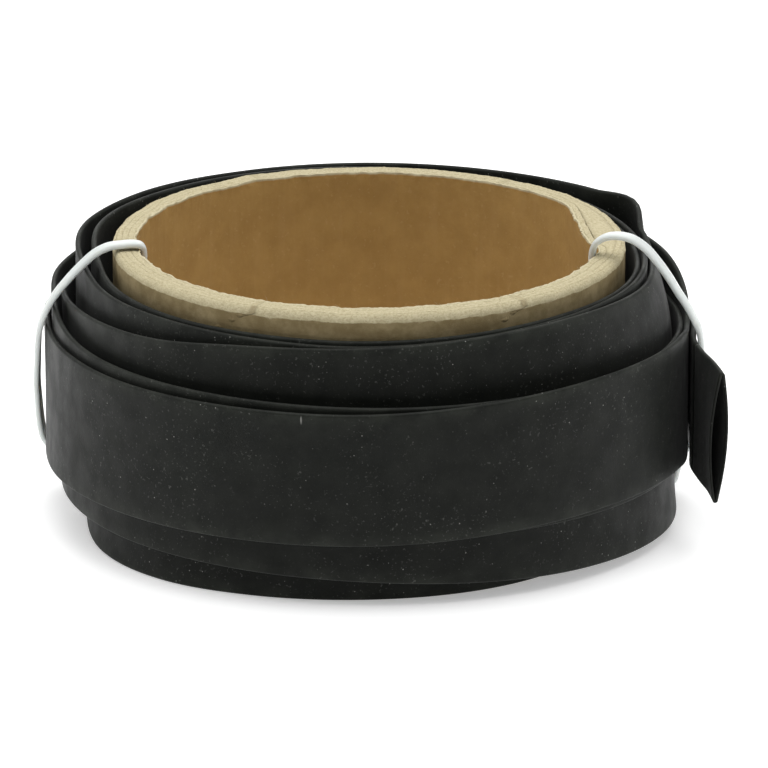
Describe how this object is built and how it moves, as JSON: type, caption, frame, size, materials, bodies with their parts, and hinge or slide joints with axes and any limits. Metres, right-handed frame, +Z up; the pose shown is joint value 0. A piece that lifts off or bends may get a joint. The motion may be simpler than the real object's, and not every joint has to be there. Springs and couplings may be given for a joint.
{
  "type": "grip tape roll",
  "caption": "Flat black grip sleeve wound loosely on a short card core, held by white cable ties looped through the bore, with its open free end standing away from the roll.",
  "frame": {"origin": "centre of the whole object's box in plan, at the level of the surface the roll stands on", "axes": "+Z up along the core's axis, -Y towards the front with the ties at left and right, +X towards the side of the free end"},
  "size_m": [0.1144, 0.1044, 0.0515],
  "materials": {
    "core_liner": "matt brown kraft card",
    "core_ply_inner": "matt cream card, fuzzy cut edge",
    "core_ply_middle": "matt cream card, fuzzy cut edge",
    "core_ply_outer": "matt cream card, fuzzy cut edge",
    "core_wrap": "matt grey-brown card with a diagonal seam",
    "sleeve_winding": "matt black extruded sleeve",
    "sleeve_free_end": "matt black extruded sleeve",
    "tie_left_strap": "natural nylon, slightly translucent",
    "tie_left_head": "natural nylon, slightly translucent",
    "tie_left_pawl": "natural nylon, slightly translucent",
    "tie_right_strap": "natural nylon, slightly translucent",
    "tie_right_head": "natural nylon, slightly translucent",
    "tie_right_pawl": "natural nylon, slightly translucent"
  },
  "bodies": {
    "roll": {"core_liner": "core_liner", "core_ply_inner": "core_ply_inner", "core_ply_middle": "core_ply_middle", "core_ply_outer": "core_ply_outer", "core_wrap": "core_wrap", "sleeve_winding": "sleeve_winding"},
    "free_end": {"sleeve_free_end": "sleeve_free_end"},
    "tie_left": {"tie_left_strap": "tie_left_strap", "tie_left_head": "tie_left_head"},
    "tie_right": {"tie_right_strap": "tie_right_strap", "tie_right_head": "tie_right_head"},
    "tie_left_pawl": {"tie_left_pawl": "tie_left_pawl"},
    "tie_right_pawl": {"tie_right_pawl": "tie_right_pawl"}
  },
  "joints": [
    {"name": "free_end_bend", "type": "hinge", "parent": "roll", "child": "free_end", "pos_m": [0.05243, -0.00905, 0.02074], "axis": [0, 0, 1], "range_deg": [-10, 45], "stiffness_Nm_per_rad": 0.002},
    {"name": "tie_left_shift", "type": "hinge", "parent": "roll", "child": "tie_left", "pos_m": [-0.0012, -0.00056, 0.022], "axis": [0, 0, 1], "range_deg": [-1, 1]},
    {"name": "tie_left_pawl_release", "type": "hinge", "parent": "tie_left", "child": "tie_left_pawl", "pos_m": [-0.03702, 0.00302, 0.02082], "axis": [0.0993, 0.9951, 0], "range_deg": [0, 10], "stiffness_Nm_per_rad": 0.0001},
    {"name": "tie_right_shift", "type": "hinge", "parent": "roll", "child": "tie_right", "pos_m": [-0.0012, -0.00056, 0.022], "axis": [0, 0, 1], "range_deg": [-1, 1]},
    {"name": "tie_right_pawl_release", "type": "hinge", "parent": "tie_right", "child": "tie_right_pawl", "pos_m": [0.03478, 0.00051, 0.02082], "axis": [0.0297, -0.9996, 0], "range_deg": [0, 10], "stiffness_Nm_per_rad": 0.0001}
  ]
}
